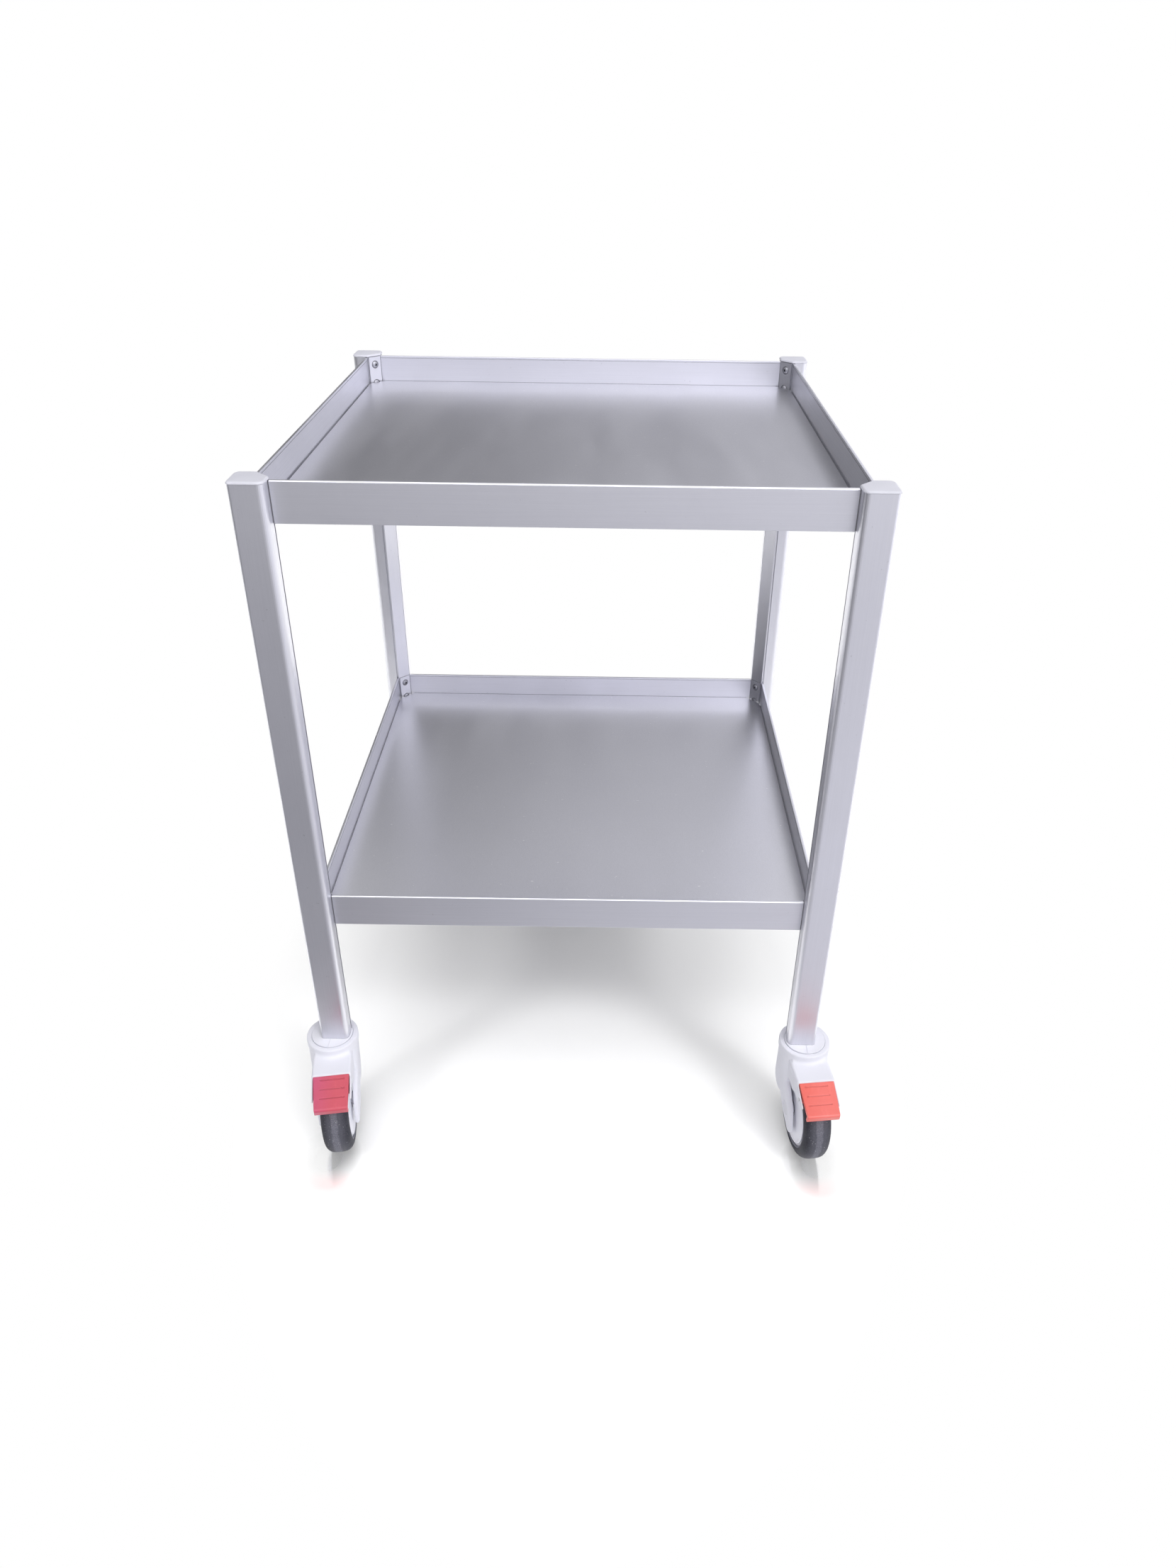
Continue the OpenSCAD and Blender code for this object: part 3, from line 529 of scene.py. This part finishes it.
class TROLLEY_OT_caps(bpy.types.Operator):
    """Models the soft moulded caps on the posts"""

    bl_idname = "trolley.caps"
    bl_label = "Make Caps"

    def execute(self, context):
        colours, sizes = context.scene.trolley_colours, context.scene.trolley_sizes
        material = moulded_finish("cap_moulding", colours.cap, 0.5)
        for corner in CORNERS:
            low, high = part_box("cap_" + corner)
            place = Matrix.Translation((low + high) / 2)
            cap = moulded_copy("cap_" + corner, "cap_moulding_" + corner, place,
                               sizes.cap_cell, 3, material)
            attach(cap, "frame")
            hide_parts("cap_" + corner)
        return {"FINISHED"}


class TROLLEY_OT_forks(bpy.types.Operator):
    """Models the white moulded forks and finishes their collars and axles"""

    bl_idname = "trolley.forks"
    bl_label = "Make Forks"

    def execute(self, context):
        colours, sizes = context.scene.trolley_colours, context.scene.trolley_sizes
        material = moulded_finish("white_moulding", colours.moulding, 0.50)
        coat(["collar_" + c for c in CORNERS], material)
        coat(["axle_" + c for c in CORNERS],
             moulded_finish("coated_axle", darker(colours.moulding, 0.93), 0.4))
        for corner in CORNERS:
            fork = moulded_copy("housing_" + corner, "fork_moulding_" + corner,
                                caster_place(corner), sizes.fork_cell, 4, material)
            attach(fork, "fork_" + corner)
            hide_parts("housing_" + corner)
        return {"FINISHED"}


class TROLLEY_OT_pedals(bpy.types.Operator):
    """Models the coloured brake pedals"""

    bl_idname = "trolley.pedals"
    bl_label = "Make Pedals"

    def execute(self, context):
        colours, sizes = context.scene.trolley_colours, context.scene.trolley_sizes
        for corner, tone in zip(BRAKED, ("crimson", "coral")):
            low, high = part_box("pedal_" + corner)
            material = pedal_finish(tone + "_moulding", getattr(colours, tone),
                                    getattr(colours, tone + "_fade"), low.x, high.x)
            pedal = moulded_copy("pedal_" + corner, "pedal_moulding_" + corner,
                                 caster_place(corner), sizes.pedal_cell, 2, material)
            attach(pedal, "brake_pedal_" + corner)
            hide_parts("pedal_" + corner)
        coat(["pedal_pins_" + c for c in BRAKED],
             steel_finish("pin_steel", colours.zinc, 0.35))
        return {"FINISHED"}


class TROLLEY_OT_wheels(bpy.types.Operator):
    """Models the tyres and the discs over the wheels' sides"""

    bl_idname = "trolley.wheels"
    bl_label = "Make Wheels"

    def execute(self, context):
        colours, sizes = context.scene.trolley_colours, context.scene.trolley_sizes
        rubber = rubber_finish("tyre_rubber", colours)
        white = moulded_finish("disc_moulding", colours.disc, 0.38)
        coat(["rim_" + c for c in CORNERS],
             moulded_finish("core_moulding", darker(colours.disc, 0.7), 0.5))
        half, bore, outer = sizes.tyre_half, sizes.tyre_bore, WHEEL_R
        # Half of the section, from the tread's middle over the shoulder and the bead ring to the bore.
        side = [
            (outer, 0.0), (outer, 0.0028), (outer - 0.0002, 0.0052), (outer - 0.0006, 0.0078),
            (outer - 0.0015, 0.0104), (outer - 0.0030, 0.0126), (outer - 0.0050, 0.0144),
            (outer - 0.0074, 0.0157), (outer - 0.0098, 0.0163), (outer - 0.0118, half),
            (outer - 0.0127, half), (outer - 0.0130, half - 0.0005), (outer - 0.0136, half - 0.0006),
            (outer - 0.0140, half - 0.0002), (outer - 0.0150, half - 0.0003),
            (bore + 0.0006, half - 0.0010), (bore, half - 0.0017),
        ]
        profile = side + [(r, -a) for r, a in reversed(side[1:])]
        across = [a / half for r, a in profile]
        ring = [1.0 if r < outer - 0.0132 else 0.0 for r, a in profile]
        disc = disc_profile(sizes)
        for corner in CORNERS:
            place = caster_place(corner)
            tyre = turned("tread_" + corner, profile, sizes.tyre_steps, place, rubber,
                          {"across": across, "ring": ring}, math.radians(50))
            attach(tyre, "wheel_" + corner)
            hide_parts("tyre_" + corner)
            for number, flip in ((1, 1), (2, -1)):
                shell = turned(f"disc_{corner}_{number}", [(r, a * flip) for r, a in disc],
                               sizes.disc_steps, place, white, None, math.radians(50))
                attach(shell, "wheel_" + corner)
                if number == 1:
                    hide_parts("guards_" + corner)
        return {"FINISHED"}


def disc_profile(sizes):
    """A disc's section: flat back, raised rounded lip, shallow dish and a hub ring."""
    seat, edge = sizes.disc_seat, sizes.disc_r
    inner = 0.0086
    return [
        (inner, seat), (edge - 0.0004, seat), (edge, seat + 0.0004), (edge, seat + 0.0011),
        (edge - 0.0005, seat + 0.0016), (edge - 0.0013, seat + 0.0018), (edge - 0.0024, seat + 0.0017),
        (edge - 0.0036, seat + 0.0012), (edge - 0.0055, seat + 0.0010), (0.030, seat + 0.0009),
        (0.018, seat + 0.0011), (0.0152, seat + 0.0013), (0.0140, seat + 0.0017),
        (inner + 0.0006, seat + 0.0017), (inner, seat + 0.0013),
    ]


def card(name, centre, size, turn, start, stop, axis):
    """A glowing card that only reflections see, with (place, glow level) pairs along an axis.

    A card on the floor is clear from below.
    """
    build = bmesh.new()
    bmesh.ops.create_grid(build, x_segments=1, y_segments=1, size=0.5)
    bmesh.ops.scale(build, vec=(size[0], size[1], 1), verts=build.verts)
    bmesh.ops.rotate(build, cent=(0, 0, 0), matrix=turn, verts=build.verts)
    bmesh.ops.translate(build, vec=centre, verts=build.verts)
    mesh = bpy.data.meshes.new(name)
    build.to_mesh(mesh)
    build.free()
    recipe = Recipe(name, (0, 0, 0), 0, 1)
    split = recipe.node("ShaderNodeSeparateXYZ")
    recipe.join(recipe.place, split.inputs["Vector"])
    glow = recipe.node("ShaderNodeEmission")
    recipe.join(recipe.spread(split.outputs[axis], start[1], stop[1], start[0], stop[0]),
                glow.inputs["Strength"])
    clear = recipe.node("ShaderNodeBsdfTransparent")
    side = recipe.node("ShaderNodeMixShader")
    side.inputs["Fac"].default_value = 0.0
    if centre[2] == CARD_LIFT:
        recipe.join(recipe.node("ShaderNodeNewGeometry").outputs["Backfacing"], side.inputs["Fac"])
    glow.inputs["Color"].default_value = (0.97, 0.97, 1.05, 1)
    recipe.join(glow.outputs["Emission"], side.inputs[1])
    recipe.join(clear.outputs["BSDF"], side.inputs[2])
    recipe.join(side.outputs["Shader"], recipe.output.inputs["Surface"])
    piece = new_piece(name, mesh, recipe.material)
    for ray in ("camera", "diffuse", "shadow", "transmission", "volume_scatter"):
        setattr(piece, "visible_" + ray, False)
    return piece


class TROLLEY_OT_studio(bpy.types.Operator):
    """Makes the floor, the soft lights, the white surroundings and the camera"""

    bl_idname = "trolley.studio"
    bl_label = "Make Studio"

    def execute(self, context):
        studio = context.scene.trolley_studio
        floor = self.floor(context.scene.trolley_colours.floor, studio)
        self.world(studio.dome)
        self.lamp("key_light", studio.key, 24, (0.46, -0.60, 0.66))
        self.lamp("fill_light", studio.fill, 16, (-0.42, -0.60, 0.68))
        self.lamp("top_light", studio.top, 45, (0, -0.35, 0.94))
        self.lamp("side_light", studio.side, 55, (0.9, -0.1, 0.42))
        # These three light the floor alone, for the shadow under the trolley.
        self.lamp("shade_light", studio.floor_top, 40, (0, -0.2, 0.98), floor)
        self.lamp("streak_light_left", studio.streak, 10, (-0.47, -0.5, 0.73), floor)
        self.lamp("streak_light_right", studio.streak, 10, (0.43, -0.53, 0.73), floor)
        level = Matrix.Rotation(0, 3, "Z")
        upright = Matrix.Rotation(math.radians(90), 3, "X")
        sideways = Matrix.Rotation(math.radians(90), 3, "Z") @ upright
        for cards, turn, axis in (
            (FLOOR_CARDS, level, "X"), (UPRIGHT_CARDS, upright, "X"), (SIDE_CARDS, sideways, "Y")
        ):
            for name, centre, size, start, stop in cards:
                card(name, centre, size, turn, start, stop, axis)
        self.camera(context, studio)
        context.scene.view_settings.view_transform = "Standard"
        return {"FINISHED"}

    def floor(self, colour, studio):
        """A white floor with the soft shadow, the front wheels' reflections and the pedals' painted
        reflections.
        """
        build = bmesh.new()
        bmesh.ops.create_grid(build, x_segments=2, y_segments=2, size=FLOOR_HALF)
        bmesh.ops.translate(build, vec=(0, 0, -FLOOR_DROP), verts=build.verts)
        mesh = bpy.data.meshes.new("studio_floor")
        build.to_mesh(mesh)
        build.free()
        recipe = Recipe("studio_floor", colour, 0.0, 1.0)
        recipe.shader.inputs["Specular IOR Level"].default_value = 0.0
        # Other rays meet a plain floor, which metal sees nearly white.
        path = recipe.node("ShaderNodeLightPath")
        rays = path.outputs["Is Camera Ray"]
        recipe.tint(path.outputs["Is Glossy Ray"], (0.97, 0.97, 0.97))
        seen = recipe.node("ShaderNodeBsdfDiffuse")
        cloud = recipe.noise(3, 3.0)
        gain = recipe.spread(cloud, studio.floor_gain - 0.004, studio.floor_gain + 0.004)
        gloss = recipe.node("ShaderNodeBsdfGlossy")
        gloss.inputs["Roughness"].default_value = studio.mirror_blur
        # Near each braked wheel: where the reflection lies, and where its pedal's painted reflection
        # lies.
        near = pedal_reflection_reach = None
        for corner in BRAKED:
            x = JOINTS["spin_" + corner]["pos_m"][0]
            found = recipe.spot((x * 1.04, studio.mirror_y, 0), (0.85, 1.0, 1.0))
            near = found if near is None else recipe.value("MINIMUM", near, found)
            low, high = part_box("pedal_" + corner)
            found = recipe.spot(((low.x + high.x) * 0.515, low.y - 0.011, 0), (1.7, 1.0, 1.0))
            pedal_reflection_reach = found if pedal_reflection_reach is None else recipe.value("MINIMUM", pedal_reflection_reach, found)
        # Painted reflection: a pink tint on the floor just in front of each pedal stands in for the
        # pedal's reflection.
        painted_pedal_reflection = recipe.node("ShaderNodeMix", data_type="RGBA")
        recipe.join(recipe.spread(pedal_reflection_reach, 0.95, 0.0, 0.005, 0.023), painted_pedal_reflection.inputs["Factor"])
        recipe.join(gain, painted_pedal_reflection.inputs["A"])
        painted_pedal_reflection.inputs["B"].default_value = (*(studio.floor_gain * c for c in (1.0, 0.72, 0.72)), 1)
        recipe.join(painted_pedal_reflection.outputs["Result"], seen.inputs["Color"])
        wet = recipe.node("ShaderNodeMixShader")
        recipe.join(recipe.spread(near, studio.mirror, 0.0, 0.018, 0.048), wet.inputs["Fac"])
        recipe.join(seen.outputs["BSDF"], wet.inputs[1])
        recipe.join(gloss.outputs["BSDF"], wet.inputs[2])
        # Outside an oval the floor is plain white.
        oval = recipe.node("ShaderNodeMapping")
        oval.inputs["Scale"].default_value = (1.7, 1.0, 1.0)
        recipe.join(recipe.place, oval.inputs["Vector"])
        reach = recipe.node("ShaderNodeVectorMath", operation="LENGTH")
        recipe.join(oval.outputs["Vector"], reach.inputs[0])
        away = recipe.spread(reach.outputs["Value"], 0.0, 1.0, 0.52, 0.78)
        white = recipe.node("ShaderNodeEmission")
        far = recipe.node("ShaderNodeMixShader")
        recipe.join(away, far.inputs["Fac"])
        recipe.join(wet.outputs["Shader"], far.inputs[1])
        recipe.join(white.outputs["Emission"], far.inputs[2])
        both = recipe.node("ShaderNodeMixShader")
        recipe.join(rays, both.inputs["Fac"])
        recipe.join(recipe.shader.outputs["BSDF"], both.inputs[1])
        recipe.join(far.outputs["Shader"], both.inputs[2])
        recipe.join(both.outputs["Shader"], recipe.output.inputs["Surface"])
        piece = new_piece("studio_floor", mesh, recipe.material)
        return piece

    def world(self, level):
        """White where the camera, metal or clear pieces look, and a plain level of light elsewhere."""
        world = bpy.data.worlds.new("studio_world")
        bpy.context.scene.world = world
        world.use_nodes = True
        tree = world.node_tree
        tree.nodes.clear()
        rays = tree.nodes.new("ShaderNodeLightPath")
        seen = rays.outputs["Is Camera Ray"]
        for kind in ("Is Glossy Ray", "Is Transmission Ray"):
            both = tree.nodes.new("ShaderNodeMath")
            both.operation = "MAXIMUM"
            tree.links.new(seen, both.inputs[0])
            tree.links.new(rays.outputs[kind], both.inputs[1])
            seen = both.outputs["Value"]
        plain, white = (tree.nodes.new("ShaderNodeBackground") for _ in range(2))
        plain.inputs["Strength"].default_value = level
        white.inputs["Strength"].default_value = 1.0
        for made in (plain, white):
            made.inputs["Color"].default_value = (1, 1, 1, 1)
        mix = tree.nodes.new("ShaderNodeMixShader")
        output = tree.nodes.new("ShaderNodeOutputWorld")
        tree.links.new(seen, mix.inputs["Fac"])
        tree.links.new(plain.outputs["Background"], mix.inputs[1])
        tree.links.new(white.outputs["Background"], mix.inputs[2])
        tree.links.new(mix.outputs["Shader"], output.inputs["Surface"])

    def lamp(self, name, strength, width, source, only=None):
        """A wide soft light from far away, coming from the given direction, on one piece if asked."""
        light = bpy.data.lights.new(name, "SUN")
        light.energy = strength
        light.angle = math.radians(width)
        lamp = bpy.data.objects.new(name, light)
        lamp.rotation_euler = Vector(source).to_track_quat("Z", "Y").to_euler()
        bpy.context.scene.collection.objects.link(lamp)
        if only is not None:
            lit = bpy.data.collections.new(name + "_target")
            lit.objects.link(only)
            lamp.light_linking.receiver_collection = lit

    def camera(self, context, studio):
        """The photograph's camera, with its optical middle a little off the picture's middle."""
        data = bpy.data.cameras.new("photo_camera")
        data.sensor_width = SENSOR
        data.lens = studio.lens
        data.shift_x = (PICTURE[0] / 2 - studio.middle_x) / PICTURE[1]
        data.shift_y = (studio.middle_y - PICTURE[1] / 2) / PICTURE[1]
        data.clip_end = 200
        turn = Matrix.Rotation(studio.turn, 3, "Z")
        ahead = turn @ Vector((0, math.cos(studio.pitch), math.sin(studio.pitch)))
        side = turn @ Vector((1, 0, 0))
        up = side.cross(ahead)
        right = side * math.cos(studio.roll) + up * math.sin(studio.roll)
        top = up * math.cos(studio.roll) - side * math.sin(studio.roll)
        axes = Matrix((right, top, -ahead)).transposed().to_4x4()
        camera = bpy.data.objects.new("photo_camera", data)
        camera.matrix_world = Matrix.Translation(Vector(studio.place)) @ axes
        context.scene.collection.objects.link(camera)
        context.scene.camera = camera


class TROLLEY_PT_panel(bpy.types.Panel):
    """Lists the steps that build the trolley's looks"""

    bl_idname = "TROLLEY_PT_panel"
    bl_label = "Trolley"
    bl_space_type = "VIEW_3D"
    bl_region_type = "UI"
    bl_category = "Trolley"

    def draw(self, context):
        for step in STEPS:
            self.layout.operator(step.bl_idname)


STEPS = (
    TROLLEY_OT_frame_finish,
    TROLLEY_OT_caps,
    TROLLEY_OT_forks,
    TROLLEY_OT_pedals,
    TROLLEY_OT_wheels,
    TROLLEY_OT_studio,
)
GROUPS = (
    ("trolley_colours", TrolleyColours),
    ("trolley_sizes", TrolleySizes),
    ("trolley_studio", TrolleyStudio),
)


def register():
    for name, group in GROUPS:
        bpy.utils.register_class(group)
        setattr(bpy.types.Scene, name, PointerProperty(type=group))
    for step in STEPS:
        bpy.utils.register_class(step)
    bpy.utils.register_class(TROLLEY_PT_panel)


def unregister():
    bpy.utils.unregister_class(TROLLEY_PT_panel)
    for step in reversed(STEPS):
        bpy.utils.unregister_class(step)
    for name, group in reversed(GROUPS):
        delattr(bpy.types.Scene, name)
        bpy.utils.unregister_class(group)


def main():
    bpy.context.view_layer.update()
    register()
    bpy.ops.trolley.frame_finish()
    bpy.ops.trolley.caps()
    bpy.ops.trolley.forks()
    bpy.ops.trolley.pedals()
    bpy.ops.trolley.wheels()
    bpy.ops.trolley.studio()


if __name__ == "__main__":
    main()
